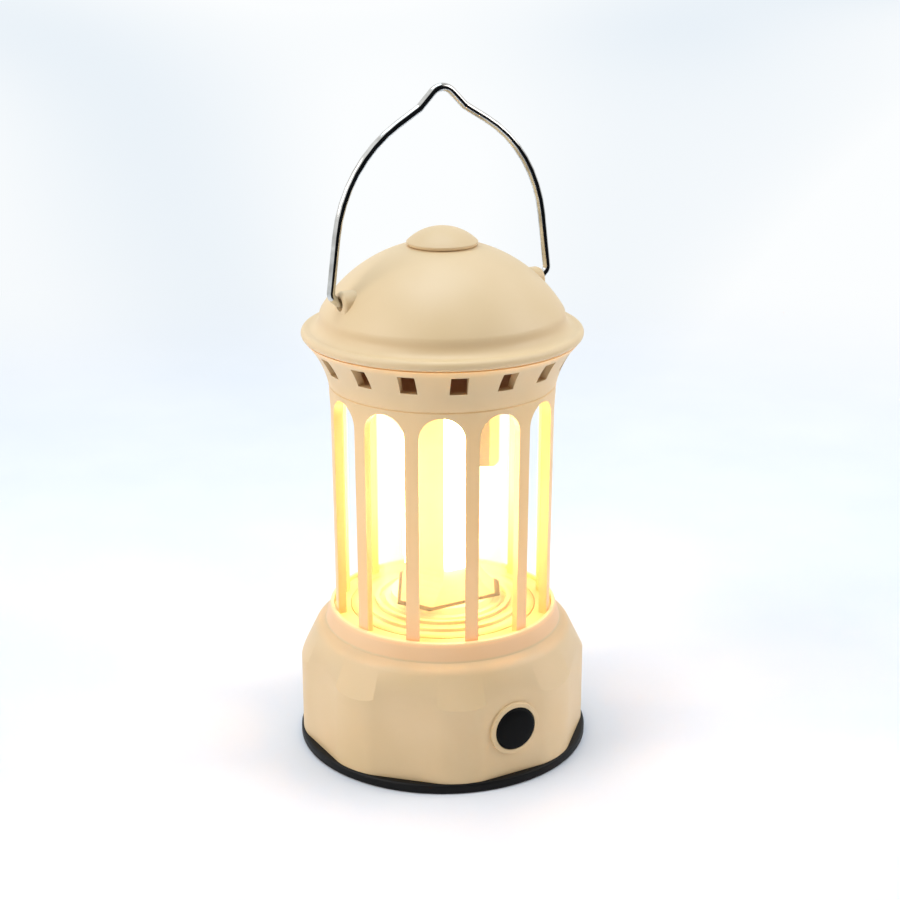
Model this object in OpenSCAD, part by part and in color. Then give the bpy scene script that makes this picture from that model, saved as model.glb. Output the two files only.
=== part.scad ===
// Column lantern: a free-standing battery table lamp. A colonnade stands round a clear
// chimney and a three-sided light, between an octagonal battery base and a domed roof
// that carries a folding wire handle.
// Millimetres. +Z is up, the push button faces -Y, the handle swings about an axis along X,
// and the origin is the centre of the foot on the table.

/* [Base] */
// Outer diameter of the black foot
foot_d = 82; // [81:1:98]
// Height of the foot's visible edge
foot_h = 2.8; // [2.6:0.1:3.4]
// Width across the flats of the octagonal base
base_flats = 77.8; // [77:0.2:93]
// Radius of the base's upright corners
base_corner_r = 18; // [12:1:21]
// Wall thickness of the base moulding
base_wall = 2; // [1.6:0.1:2.4]
// Height at which the base's corners start to lean in
shoulder_z = 24; // [24:0.5:29]
// Radius that the shoulder loses for each millimetre of height
shoulder_lean = 0.48; // [0.4:0.01:0.5]
// Height of the base's top plate, which the cage stands on
plate_z = 35.5; // [35:0.5:42]
// Thickness of the top plate
plate_t = 2; // [1.6:0.1:2.4]
// Height of the collar round the cage above the top plate
collar_h = 4.9; // [4:0.1:6]
// Outer radius of the collar at its foot
collar_r = 33.2; // [33:0.1:34]

/* [Cage] */
// Outer radius of the colonnade at its foot
cage_r = 30.6; // [30.4:0.1:30.6]
// Wall thickness of the colonnade
cage_wall = 2.4; // [2:0.1:2.8]
// Number of columns
columns = 12; // [10:1:12]
// Width of each arched opening
arch_w = 12.2; // [10:0.1:12.4]
// Height of the arches' crowns above the base's top plate
arch_top = 67.8; // [56:0.1:82]
// Height of the foot ring that the columns grow from
cage_ring_h = 3.9; // [3.4:0.1:4.2]
// Inner radius of that foot ring
cage_ring_r = 26.2; // [25:0.1:26.2]
// Number of square vents under the eaves
vents = 16; // [12:1:20]
// Width of each vent
vent_w = 4.6; // [3:0.1:5.5]
// Height of each vent
vent_h = 5.2; // [3:0.1:5.4]

/* [Roof] */
// Radius of the dome's outside
dome_r = 38.6; // [38.4:0.1:40]
// Height of the dome's centre above the arches' crowns
dome_rise = 1.6; // [1:0.1:3]
// Wall thickness of the roof
roof_wall = 2; // [1.6:0.1:2.4]
// Radius of the brim
brim_r = 38.3; // [38:0.1:40]
// Radius of the finial
finial_r = 9.6; // [8:0.1:12]
// Height of the finial's crown above the dome
finial_h = 3.9; // [3:0.1:5]

/* [Handle] */
// Diameter of the handle's wire
wire_d = 2.2; // [2:0.1:2.4]
// Half of the handle's width, to the wire's centre at its lower corners
bail_half_w = 33.5; // [33.4:0.1:36]
// Height of the handle's crown over its pivot, to the wire's centre
bail_rise = 54; // [52:1:70]
// Height of the pivot above the dome's centre
pivot_rise = 25; // [24.4:0.1:25.2]
// Distance from the middle to the outer face of each pivot boss
boss_x = 31; // [30.6:0.1:31.2]
// Width of each pivot boss
boss_w = 7.2; // [6.4:0.1:9]
// Gap round the wire in its pivot bores
pivot_gap = 0.05; // [0.03:0.01:0.1]

/* [Light] */
// Outer radius of the clear chimney
chimney_r = 17.8; // [17.4:0.1:18.2]
// Wall thickness of the chimney
chimney_wall = 1.2; // [1:0.1:1.5]
// Distance from the middle to each light face of the pillar
pillar_face = 9.6; // [9:0.1:9.8]
// Width of each light face
pillar_w = 10.4; // [10:0.1:11]
// Distance from the middle to each light face at the flared foot
foot_face = 12; // [11:0.1:12]
// Width of each light face at the flared foot
foot_w = 21.6; // [18:0.1:21.6]
// Height of the flared foot
flare_h = 9; // [6:0.5:12]
// Width of each light strip
strip_w = 9.6; // [7:0.1:10]
// Length of each light strip
strip_l = 50; // [36:1:50]
// Length of the top holder's two legs
guide_l = 25; // [15:1:30]

/* [Battery] */
// Diameter of a cell
cell_d = 14.2; // [13.8:0.1:14.5]
// Length of a cell, with its button
cell_l = 50.2; // [49:0.1:50.5]
// Distance between the cells' centre lines
cell_pitch = 14.6; // [14.6:0.1:14.9]
// Inner length of the battery compartment
bay_l = 55.8; // [55.2:0.1:56.4]
// Wall thickness of the battery compartment
bay_wall = 1.3; // [1:0.1:1.5]

/* [Button] */
// Diameter of the push button
button_d = 12; // [10:0.1:13]
// Height of the button's centre
button_z = 16.5; // [16:0.1:18]
// Travel of the button
button_travel = 0.9; // [0.6:0.1:1.2]

/* [Fits] */
// Gap between separate mouldings that slip into each other
slip = 0.2; // [0.15:0.05:0.25]

/* [Hidden] */
$fn = 96;
eps = 0.01;
far = 200;

// Colours
beige = [0.87, 0.76, 0.61];
black = [0.07, 0.07, 0.08];
white = [0.93, 0.92, 0.88];
steel = [0.75, 0.76, 0.78];
red = [0.75, 0.1, 0.08];

// Base
apothem = base_flats / 2;
inner_apothem = apothem - base_wall;
reach = (apothem - base_corner_r) / cos(22.5) + base_corner_r;
cap_floor = 0.8;              // height of the recessed floor over the table
rim_in = foot_d / 2 - 4.5;    // inner radius of the rim that stands on the table
shoulder_top = plate_z - 2.7; // where the leaning shoulder starts to round over
shoulder_r = reach - (shoulder_top - shoulder_z) * shoulder_lean;
lean_angle = atan(shoulder_lean);
round_r = 3.9;                // rounding between shoulder and collar
collar_top = plate_z + collar_h;
collar_bore = cage_r + slip + 0.1;
lip_r = collar_r - 1.3;

// Cap and cage screws
cap_screw_x = 16;
cap_screw_y = inner_apothem - 7.4;
cage_screw_r = (cage_r + cage_ring_r) / 2;
screw_r = 1;
post_r = 3;

// Cage and cornice
cage_ring_top = plate_z + cage_ring_h;
crown_z = plate_z + arch_top;
spring_z = crown_z - arch_w / 2;
groove_z = crown_z + 1.7;
cornice_arc_r = 26.7;
cornice_x = cage_r + 0.55 + cornice_arc_r * cos(12);
cornice_z = groove_z + 0.1 - cornice_arc_r * sin(12);
eaves_z = crown_z + 14.1;
eaves_r = cornice_x - sqrt(cornice_arc_r ^ 2 - (eaves_z - cornice_z) ^ 2);
vent_z = crown_z + 9.5;
ledge_z = crown_z + 1.8;
ledge_r = cage_r - cage_wall - 1.9;

// Roof
dome_z = crown_z + dome_rise;
neck_z = eaves_z + 7.2;
neck_r = sqrt(dome_r ^ 2 - (neck_z - dome_z) ^ 2);
brim_edge_r = 1.35;
brim_mid = eaves_z + 0.2 + brim_edge_r;
cove_r = 2.1;
roof_boss_r = 24;
finial_stem_r = 2;

// Handle
wire_r = wire_d / 2;
pin_r = wire_r + 0.02;
pivot_z = dome_z + pivot_rise;
boss_top = pivot_z + 3.1;
pin_in = 24.5;
mouth_r = 2;

// Light
deck_z = plate_z + 5.8;       // top of the deck where the chimney stands
foot_z = deck_z + 1.9;        // top of its plinth, under the pillar
chimney_foot = deck_z - 1.3;
holder_z = ledge_z;           // underside of the top holder's disc
holder_t = 1.6;
strip_z = foot_z + flare_h + 0.8;
strip_t = 1;
pillar_screw_r = 10;

// Battery bay
cell_r = cell_d / 2;
door_z = 0.9;                 // underside of the door
door_t = 1.5;
door_top = door_z + door_t;
cell_z = door_top + 0.9 + cell_r;
bay_half_w = cell_pitch + cell_r + 0.4;
bay_top = cell_z + cell_r + 0.3;
plate_contact_t = 0.4;
contact_x = bay_l / 2 - plate_contact_t;
door_half_x = bay_l / 2 - 0.2;
door_half_y = bay_half_w - 0.2;
hinge_y = door_half_y - 0.3;
hinge_z = door_z + 0.9;
hinge_pin_r = 0.6;
barrel_r = 0.95;
hinge_x = 20;

// Switch
wall_in_y = -inner_apothem;
bezel_w = 1.5;
bezel_h = 0.8;
button_r = button_d / 2;
board_t = 1.2;
board_y = wall_in_y + 9.7;    // face of the board that looks at the button
board_post_x = 9.8;
switch_half = 3.6;
flange_t = 1;

// ---------------------------------------------------------------- helpers

// Points along an arc round c, from angle a0 to a1 in n steps
function arc(c, r, a0, a1, n = 8) =
    [for (i = [0:n]) let (a = a0 + (a1 - a0) * i / n) c + r * [cos(a), sin(a)]];

// Octagon with rounded corners and a flat towards -Y
module octagon(apo, corner_r) {
    flat = apo - 0.003;
    half = (apo - corner_r) * tan(22.5);
    polygon([for (k = [0:7]) for (s = [-1, 1]) let (a = 45 * k)
        [s * half * cos(a) + flat * sin(a), s * half * sin(a) - flat * cos(a)]]);
    for (k = [0:7]) rotate([0, 0, 22.5 + 45 * k]) translate([(apo - corner_r) / cos(22.5), 0, 0])
        circle(r = corner_r);
}

// Copies its children n times round the Z axis, the first one facing -Y turned by start
module ring(n, start = 0) {
    for (i = [0:n - 1])
        rotate([0, 0, start + i * 360 / n]) children();
}

// Pan-head screw with its shank up +Z from the head's flat face at the origin
module screw(length, head_r = 1.9, head_h = 1.1) {
    difference() {
        union() {
            cylinder(r = screw_r - 0.1, h = length);
            translate([0, 0, -head_h]) cylinder(r = head_r, h = head_h);
        }
        for (a = [0, 90])
            rotate([0, 0, a]) translate([-1.1, -0.25, -head_h - eps]) cube([2.2, 0.5, 0.7]);
    }
}

// Wire through hand-picked points, rounded by a Catmull-Rom curve
function curve(p, steps = 4) = [for (i = [0:len(p) - 2]) for (k = [0:steps - 1])
    let (a = p[max(i - 1, 0)], b = p[i], c = p[i + 1], d = p[min(i + 2, len(p) - 1)], t = k / steps)
    0.5 * ((2 * b) + (c - a) * t + (2 * a - 5 * b + 4 * c - d) * t ^ 2 + (3 * b - a - 3 * c + d) * t ^ 3)];

function unit(v) = v / norm(v);

// Tube of radius r along points, with flat ends; no stretch of it runs along the direction across
module tube_along(points, r, across, sides = 8) {
    last = len(points) - 1;
    rings = [for (i = [0:last])
        let (dir = unit(points[min(i + 1, last)] - points[max(i - 1, 0)]),
            side = unit(cross(dir, across)),
            up = cross(dir, side))
        for (k = [0:sides - 1]) let (a = 360 * k / sides) points[i] + r * (cos(a) * side + sin(a) * up)];
    polyhedron(rings, concat(
        [[for (k = [0:sides - 1]) k]],
        [for (i = [0:last - 1]) for (k = [0:sides - 1]) let (n = (k + 1) % sides)
            [i * sides + k, (i + 1) * sides + k, (i + 1) * sides + n, i * sides + n]],
        [[for (k = [sides - 1:-1:0]) last * sides + k]]), convexity = 6);
}

// ---------------------------------------------------------------- foot and battery

// Black bottom moulding: the foot, the floor with the door opening, and the spigot in the base
module bottom_cap() {
    color(black) difference() {
        union() {
            rotate_extrude() polygon(concat([[rim_in, 0]],
                arc([foot_d / 2 - 0.7, 0.7], 0.7, -90, 0, 4),
                arc([foot_d / 2 - 0.7, foot_h - 0.7], 0.7, 0, 90, 4),
                [[0, foot_h], [0, cap_floor], [rim_in, cap_floor]]));
            translate([0, 0, foot_h - eps]) linear_extrude(3.4) difference() {
                octagon(inner_apothem - slip, base_corner_r - base_wall);
                octagon(inner_apothem - slip - 0.9, base_corner_r - base_wall - 0.9);
            }
        }
        translate([-door_half_x - slip, -door_half_y - slip, -eps])
            cube([2 * (door_half_x + slip), door_half_y + slip + hinge_y + 1.5, foot_h + 1]);
        cap_screw_places() {
            translate([0, 0, -eps]) cylinder(r = screw_r + 0.2, h = far);
            translate([0, 0, -eps]) cylinder(r = 2.2, h = foot_h - 0.9 + eps);
        }
    }
    color(black) for (s = [-1, 1]) hinge_lug(s);
}

// Lug beside the door's barrel, with the bore that its pin turns in
module hinge_lug(s) {
    difference() {
        translate([s * (hinge_x + 2.9) - 1, hinge_y - 1.2, cap_floor]) cube([2, 3, foot_h - cap_floor]);
        translate([s * (hinge_x + 2.9) - 1.5, hinge_y, hinge_z]) rotate([0, 90, 0])
            cylinder(r = hinge_pin_r + 0.05, h = 3);
    }
}

// Places of the four screws that hold the bottom moulding
module cap_screw_places() {
    for (x = [-1, 1]) for (y = [-1, 1])
        translate([x * cap_screw_x, y * cap_screw_y, 0]) children();
}

module cap_screws() {
    color(steel) cap_screw_places() translate([0, 0, foot_h - 0.9]) screw(9);
}

// Battery door: a panel with ribs under the cells and a hinge barrel at its rear edge
module battery_door() {
    barrel_l = 2 * hinge_x + 3.4;
    color(black) difference() {
        union() {
            translate([-door_half_x, -door_half_y, door_z])
                cube([2 * door_half_x, door_half_y + hinge_y, door_t]);
            translate([-barrel_l / 2, hinge_y, hinge_z]) rotate([0, 90, 0]) {
                cylinder(r = barrel_r, h = barrel_l);
                translate([0, 0, -2.2]) cylinder(r = hinge_pin_r, h = barrel_l + 4.4);
            }
            for (x = [-18, 0, 18])
                translate([x - 0.6, -door_half_y + 4, door_top - eps])
                    cube([1.2, 2 * door_half_y - 10, 0.6]);
        }
        for (s = [-1, 1])
            translate([s * (hinge_x + 2.9) - 1.2, hinge_y - 1.8, -eps]) difference() {
                cube([2.4, far, 6]);
                translate([-1, 1.8, hinge_z + eps]) rotate([0, 90, 0]) cylinder(r = hinge_pin_r, h = 5);
            }
        translate([-7, -door_half_y - eps, -eps]) cube([14, 1.6, door_z + 0.7]);
        for (x = [-5:1:5]) translate([x - 0.2, -door_half_y + 3, -eps]) cube([0.4, 5, door_z + 0.3]);
    }
}

// Compartment over the cells, open towards the door
module battery_tray() {
    outer_x = bay_l / 2 + bay_wall;
    outer_y = bay_half_w + bay_wall;
    color(white) difference() {
        intersection() {
            translate([-outer_x, -outer_y, foot_h])
                cube([2 * outer_x, 2 * outer_y, bay_top + bay_wall - foot_h]);
            linear_extrude(far) octagon(inner_apothem - 1.2, 6);
        }
        translate([-bay_l / 2, -bay_half_w, foot_h - eps])
            cube([bay_l, 2 * bay_half_w, bay_top - foot_h + eps]);
        for (s = [-1, 1]) translate([s * bay_l / 2 - s * 0.4, -s * cell_pitch, bay_top - 1])
            translate([-0.8, -1.8, 0]) cube([1.6, 3.6, far]);
    }
}

// One cell along X: number 1 to 3 from the front, each turned end for end to the next
module battery_cell(number) {
    turn = number == 2 ? 180 : 0;
    color("seagreen") translate([0, (number - 2) * cell_pitch, cell_z]) rotate([0, 0, turn])
        translate([contact_x - 0.05 - cell_l, 0, 0]) rotate([0, 90, 0]) rotate_extrude()
            polygon(concat([[0, 0], [cell_r - 0.8, 0]], arc([cell_r - 0.6, 0.6], 0.6, -60, 0, 3),
                arc([cell_r - 0.6, cell_l - 1.6], 0.6, 0, 90, 3),
                [[2.8, cell_l - 1], [2.6, cell_l], [0, cell_l]]));
}

// Flat contacts at both ends of the bay: two single ones with solder tabs, two that join cells
module contact_plates() {
    h = 10;
    color(steel) for (s = [-1, 1]) rotate([0, 0, s > 0 ? 0 : 180]) {
        translate([contact_x, -cell_pitch - 4.5, cell_z - h / 2]) cube([plate_contact_t, 9, h]);
        translate([contact_x, -cell_pitch - 1.2, cell_z + h / 2 - eps])
            cube([plate_contact_t, 2.4, bay_top + bay_wall + 2 - cell_z - h / 2]);
        translate([contact_x, -4.5, cell_z - h / 2]) cube([plate_contact_t, cell_pitch + 9, h]);
    }
}

// Conical contact springs, one behind the flat end of each cell
module contact_springs() {
    turns = 4;
    wire = 0.35;
    depth = 2 * contact_x - cell_l + 0.05;
    n = turns * 8;
    coil = [for (i = [0:n]) let (t = i / n, a = 360 * turns * t, r = 4.3 - 1.7 * t)
        [-contact_x + wire + 0.02 + (depth - 2 * wire - 0.04) * t, r * cos(a), r * sin(a)]];
    color(steel) for (number = [1:3])
        translate([0, (number - 2) * cell_pitch, cell_z]) rotate([0, 0, number == 2 ? 180 : 0])
            tube_along(coil, wire, [1, 0, 0], 6);
}

// ---------------------------------------------------------------- base

// Outline of the base's outside turned round Z: lean, rounding, collar and its lip
function base_outline() = concat(
    [[0, foot_h], [reach + 1, foot_h], [reach + 1, shoulder_z - 1 / shoulder_lean]],
    arc([shoulder_r - round_r * cos(lean_angle), shoulder_top - round_r * sin(lean_angle)],
        round_r, lean_angle, 68, 5),
    [[collar_r + 0.35, plate_z - 0.35], [collar_r, plate_z + 0.2]],
    arc([lip_r - 0.45, collar_top - 0.45], 0.45, 10, 90, 4),
    [[0, collar_top]]);

// Outline of the hollow under the top plate
function base_hollow() = let (drop = base_wall / cos(lean_angle)) [[0, foot_h - 1],
    [reach + 2, foot_h - 1], [reach + 2, shoulder_z - (2 + drop) / shoulder_lean],
    [shoulder_r - drop, shoulder_top], [shoulder_r - drop, plate_z - plate_t], [0, plate_z - plate_t]];

module base_shell() {
    color(beige) difference() {
        union() {
            difference() {
                intersection() {
                    linear_extrude(far) octagon(apothem, base_corner_r);
                    rotate_extrude() polygon(base_outline());
                }
                intersection() {
                    linear_extrude(far) octagon(inner_apothem, base_corner_r - base_wall);
                    rotate_extrude() polygon(base_hollow());
                }
            }
            intersection() {
                cap_screw_places() translate([0, 0, foot_h]) cylinder(r = post_r, h = plate_z - foot_h - 1);
                rotate_extrude() polygon([[0, 0], [reach, 0], [reach, shoulder_z - 4],
                    [shoulder_r - 1, shoulder_top], [shoulder_r - 1, plate_z - 1], [0, plate_z - 1]]);
            }
            button_axis() {
                translate([0, 0, -apothem - bezel_h]) cylinder(r = button_r + bezel_w, h = bezel_h + 1);
                for (s = [-1, 1])
                    translate([s * board_post_x, 0, wall_in_y - eps]) cylinder(r = 2.2, h = 9.7 + eps);
            }
        }
        translate([0, 0, plate_z]) cylinder(r = collar_bore, h = far);
        cylinder(r = 14, h = far);
        cap_screw_places() cylinder(r = screw_r - 0.1, h = 14);
        cage_screw_places() cylinder(r = screw_r + 0.2, h = far);
        button_axis() {
            translate([0, 0, -apothem - 5]) cylinder(r = button_r + slip, h = 8);
            for (s = [-1, 1])
                translate([s * board_post_x, 0, board_y - 6]) cylinder(r = screw_r - 0.1, h = 7);
        }
    }
}

// Turns Z into +Y, along the button's axis
module button_axis() {
    translate([0, 0, button_z]) rotate([-90, 0, 0]) children();
}

// Places of the three screws between the base's top plate and the cage
module cage_screw_places() {
    ring(3, 45) translate([0, -cage_screw_r, 0]) children();
}

module cage_screws() {
    color(steel) cage_screw_places() translate([0, 0, plate_z - plate_t]) screw(plate_t + 3);
}

// ---------------------------------------------------------------- switch and wiring

// Push button: a softly domed cap in front and a flange behind the base's wall
module switch_button() {
    face = -apothem - 1.55;
    color(black) button_axis() rotate_extrude()
        polygon([[0, face - 0.35], [button_r - 2.4, face - 0.2], [button_r - 0.7, face + 0.1],
            [button_r, face + 0.6], [button_r, wall_in_y + slip], [button_r + 1.2, wall_in_y + slip],
            [button_r + 1.2, wall_in_y + slip + flange_t], [0, wall_in_y + slip + flange_t]]);
}

// Plunger between the button and the switch
module switch_plunger() {
    color(white) button_axis() translate([0, 0, wall_in_y + slip + flange_t])
        cylinder(r = 1.6, h = 4.2);
}

// Latching switch soldered to the board, open in front for its plunger
module switch_body() {
    depth = 5.6;
    color([0.25, 0.25, 0.27]) difference() {
        translate([-switch_half, board_y - depth, button_z - switch_half])
            cube([2 * switch_half, depth, 2 * switch_half]);
        button_axis() translate([0, 0, board_y - depth - eps]) cylinder(r = 1.7, h = 4.4);
    }
}

module driver_board() {
    color("darkgreen") difference() {
        translate([-12.2, board_y, button_z - 7.5]) cube([24.4, board_t, 15]);
        button_axis() for (s = [-1, 1])
            translate([s * board_post_x, 0, board_y - 1]) cylinder(r = screw_r + 0.15, h = 4);
    }
}

// Chip, resistors and capacitor on the back of the board
module board_parts() {
    back = board_y + board_t;
    color([0.12, 0.12, 0.13]) {
        translate([-2.5, back, button_z - 3]) cube([5, 1.4, 4]);
        for (x = [-6, 5]) translate([x, back, button_z - 6.4]) cube([1.2, 0.6, 2]);
        translate([-0.6, back, button_z - 6.6]) cube([2, 1, 1.3]);
    }
}

module board_screws() {
    color(steel) button_axis() for (s = [-1, 1])
        translate([s * board_post_x, 0, board_y + board_t]) rotate([180, 0, 0]) screw(6);
}

// Leads from the contact tabs to the board, and from the board up into the pillar
tab_z = bay_top + bay_wall + 1.3;
board_back = board_y + board_t;
lead_r = 0.6;
battery_red_route = [[contact_x - 0.6, -cell_pitch, tab_z], [contact_x - 2.2, -cell_pitch - 0.6, tab_z],
    [23, -19, 22], [16, -22.6, 22.5], [8, board_back + 2.6, 21.4], [5.6, board_back + 1.4, 21],
    [5.6, board_back + 0.15, 21]];
battery_black_route = [[-contact_x + 0.6, cell_pitch, tab_z], [-contact_x + 2.4, cell_pitch - 0.6, tab_z],
    [-24, 6, 21.6], [-21, -9, 22], [-15, -21, 22.5], [-8, board_back + 2.6, 21.4],
    [-5.6, board_back + 1.4, 21], [-5.6, board_back + 0.15, 21]];
led_route = [[1.6, board_back + 0.15, 22.6], [1.6, board_back + 1.4, 22.6], [1.6, -20, 25], [1.4, -10, 29],
    [1.1, -3, 33.5], [1, -0.6, 38], [1, 0, 44], [1, 0, 51]];

// Lead along a curve through the points of its route
module lead(route, across) {
    tube_along(concat(curve(route), [route[len(route) - 1]]), lead_r, across);
}

module battery_lead_red() {
    color(red) lead(battery_red_route, [0, 0, 1]);
}

module battery_lead_black() {
    color(black) lead(battery_black_route, [0, 0, 1]);
}

module led_lead_red() {
    color(red) lead(led_route, [1, 0, 0]);
}

module led_lead_black() {
    color(black) mirror([1, 0, 0]) lead(led_route, [1, 0, 0]);
}

// ---------------------------------------------------------------- light

// Stepped bright deck, with a groove that the chimney stands in
module reflector_deck() {
    r = cage_ring_r - slip;
    groove_in = chimney_r - chimney_wall - slip;
    color(white) difference() {
        rotate_extrude() polygon([[5, foot_z - 2.6], [5, foot_z], [groove_in - 1.8, foot_z],
            [groove_in - 1.8, deck_z], [groove_in, deck_z], [groove_in, chimney_foot],
            [chimney_r + slip, chimney_foot], [chimney_r + slip, deck_z], [chimney_r + 1.4, deck_z],
            [chimney_r + 1.4, deck_z - 0.9], [r - 4, deck_z - 0.9], [r - 4, deck_z - 1.8],
            [r, deck_z - 1.8], [r, plate_z + 0.8], [r + 1.4, plate_z + 0.8], [r + 1.4, plate_z],
            [r - 1.5, plate_z], [r - 1.5, deck_z - 3.4], [r - 5.5, deck_z - 3.4], [r - 5.5, deck_z - 2.6],
            [groove_in - 1.8, deck_z - 2.6], [groove_in - 1.8, foot_z - 2.6]]);
        pillar_screw_places() cylinder(r = screw_r + 0.2, h = far);
    }
}

// Places of the three screws that hold the pillar, in its foot's corners
module pillar_screw_places() {
    ring(3, 60) translate([0, -pillar_screw_r, 0]) children();
}

module pillar_screws() {
    color(steel) pillar_screw_places() translate([0, 0, foot_z - 2.6]) screw(5);
}

// Corners of the pillar's section at height z: three light faces and three plain ones between
function pillar_ring(face, half, z) = [for (k = [0:2]) for (s = [-1, 1])
    let (a = 120 * k) [s * half * cos(a) + face * sin(a), s * half * sin(a) - face * cos(a), z]];

// Hollow six-sided pillar whose foot flares in a hollow curve
module light_pillar() {
    steps = 6;
    sections = concat([for (i = [0:steps]) let (t = i / steps, f = (1 - t) ^ 2)
        pillar_ring(pillar_face + (foot_face - pillar_face) * f,
            (pillar_w + (foot_w - pillar_w) * f) / 2, foot_z + flare_h * t)],
        [pillar_ring(pillar_face, pillar_w / 2, holder_z - 0.2)]);
    last = len(sections) - 1;
    color(white) difference() {
        polyhedron([for (section = sections) each section], concat([[for (k = [0:5]) k]],
            [for (i = [0:last - 1]) for (k = [0:5]) let (n = (k + 1) % 6)
                [i * 6 + k, i * 6 + 6 + k, i * 6 + 6 + n, i * 6 + n]],
            [[for (k = [5:-1:0]) last * 6 + k]]));
        translate([0, 0, foot_z - eps]) cylinder(r = 3, h = far);
        pillar_screw_places() translate([0, 0, foot_z - eps]) cylinder(r = screw_r - 0.1, h = 3);
    }
}

// Light strip on the pillar's face that looks towards -Y turned by turn
module cob_strip(turn) {
    face = pillar_face;
    color([0.98, 0.86, 0.4]) rotate([0, 0, turn]) {
        translate([-strip_w / 2, -face - strip_t, strip_z]) cube([strip_w, strip_t, strip_l]);
        translate([-strip_w / 2 + 1.3, -face - strip_t - 0.5, strip_z + 2])
            cube([strip_w - 2.6, 0.5 + eps, strip_l - 4]);
    }
}

module lamp_chimney() {
    color([0.9, 0.95, 1, 0.35]) translate([0, 0, chimney_foot]) difference() {
        cylinder(r = chimney_r, h = holder_z - 0.2 - chimney_foot);
        translate([0, 0, -eps]) cylinder(r = chimney_r - chimney_wall, h = far);
    }
}

// ---------------------------------------------------------------- cage

// Outline of the cage's wall: straight columns, a fine groove and a hollow flare to the eaves
function cage_outline() = let (
    inner = cornice_arc_r + cage_wall,
    a0 = 168,
    a1 = 180 - asin((eaves_z - cornice_z) / cornice_arc_r),
    b0 = 180 - asin((ledge_z - cornice_z) / inner),
    b1 = 180 - asin((eaves_z - cornice_z) / inner))
    concat([[cage_ring_r + slip + 1.4, plate_z], [cage_r, plate_z], [cage_r, plate_z + 20],
        [cage_r + 0.4, crown_z + 0.7], [cage_r + 0.5, groove_z - 0.5], [cage_r + 0.2, groove_z - 0.2]],
        arc([cornice_x, cornice_z], cornice_arc_r, a0, a1, 8),
        arc([cornice_x, cornice_z], inner, b1, b0, 6),
        [[ledge_r, ledge_z], [ledge_r, ledge_z - 0.9], [cage_r - cage_wall + 0.2, ledge_z - 1.2],
        [cage_r - cage_wall, plate_z + 20], [cage_r - cage_wall, cage_ring_top],
        [cage_ring_r, cage_ring_top], [cage_ring_r, plate_z + 1],
        [cage_ring_r + slip + 1.4, plate_z + 1]]);

// Cage's wall between two heights; the three pieces of the cage meet at these
module cage_wall_piece(from_z, to_z) {
    rotate_extrude() intersection() {
        polygon(cage_outline());
        translate([0, from_z]) square([far, to_z - from_z]);
    }
}

// Arched openings, from the height from_z up
module arches(from_z) {
    arch_r = arch_w / 2;
    ring(columns) rotate([90, 0, 0]) translate([0, 0, cage_r - 6]) linear_extrude(12) {
        translate([-arch_r, from_z]) square([arch_w, spring_z - from_z]);
        translate([0, spring_z]) circle(r = arch_r);
    }
}

// Foot ring that stands on the base's top plate
module cage_ring() {
    color(beige) difference() {
        cage_wall_piece(plate_z - 1, cage_ring_top);
        cage_screw_places() cylinder(r = screw_r - 0.1, h = plate_z + 3.2);
    }
}

// The columns, up to where the arches spring
module cage_columns() {
    color(beige) difference() {
        cage_wall_piece(cage_ring_top, spring_z);
        ring(columns) translate([-arch_w / 2, -cage_r - 6, plate_z]) cube([arch_w, 12, arch_top]);
    }
}

// Arches and hollow flare with the row of vents, up to the roof's brim
module cornice() {
    color(beige) difference() {
        cage_wall_piece(spring_z, eaves_z + 1);
        arches(cage_ring_top);
        ring(vents) translate([-vent_w / 2, -eaves_r - 3, vent_z - vent_h / 2]) cube([vent_w, 12, vent_h]);
    }
}

// Disc under the roof that centres the chimney, with two legs beside the pillar
module top_holder() {
    disc_r = cage_r - cage_wall + 0.2;
    leg_in = pillar_face + 0.5;
    leg_out = chimney_r - chimney_wall - 0.9;
    color(beige) difference() {
        union() {
            translate([0, 0, holder_z]) cylinder(r = disc_r, h = holder_t);
            translate([0, 0, holder_z - 2.6]) difference() {
                cylinder(r = chimney_r + 1.5, h = 2.6 + eps);
                translate([0, 0, -eps]) cylinder(r = chimney_r + slip, h = far);
            }
            for (a = [60, 180]) rotate([0, 0, a]) rotate([90, 0, -90]) translate([0, 0, -0.8])
                linear_extrude(1.6) polygon([[leg_in, holder_z + 0.5], [leg_in, holder_z - guide_l],
                    [leg_out - 1.5, holder_z - guide_l], [leg_out, holder_z - guide_l + 1.5],
                    [leg_out, holder_z + 0.5]]);
        }
        roof_screw_places() cylinder(r = screw_r + 0.2, h = far);
    }
}

// Places of the three screws that pull the holder against the roof
module roof_screw_places() {
    ring(3) translate([0, -roof_boss_r, 0]) children();
}

module roof_screws() {
    color(steel) roof_screw_places() translate([0, 0, holder_z]) screw(holder_t + 5);
}

// ---------------------------------------------------------------- roof and handle

// Outline of the roof: brim with a rounded edge, cove, neck and dome, hollow inside
function roof_outline() = let (
    a0 = asin((neck_z - dome_z) / dome_r),
    inner = dome_r - roof_wall,
    b0 = asin((neck_z - dome_z) / inner))
    concat([[neck_r - roof_wall, eaves_z], [eaves_r - 0.8, eaves_z],
        [eaves_r - 0.6, brim_mid - brim_edge_r]],
        arc([brim_r - brim_edge_r, brim_mid], brim_edge_r, -90, 90, 8),
        arc([neck_r + 0.4 + cove_r, brim_mid + brim_edge_r + cove_r], cove_r, -90, -180, 5),
        arc([0, dome_z], dome_r, a0, 90, 18),
        arc([0, dome_z], inner, 90, b0, 14),
        [[neck_r - roof_wall, neck_z - 2]]);

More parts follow.
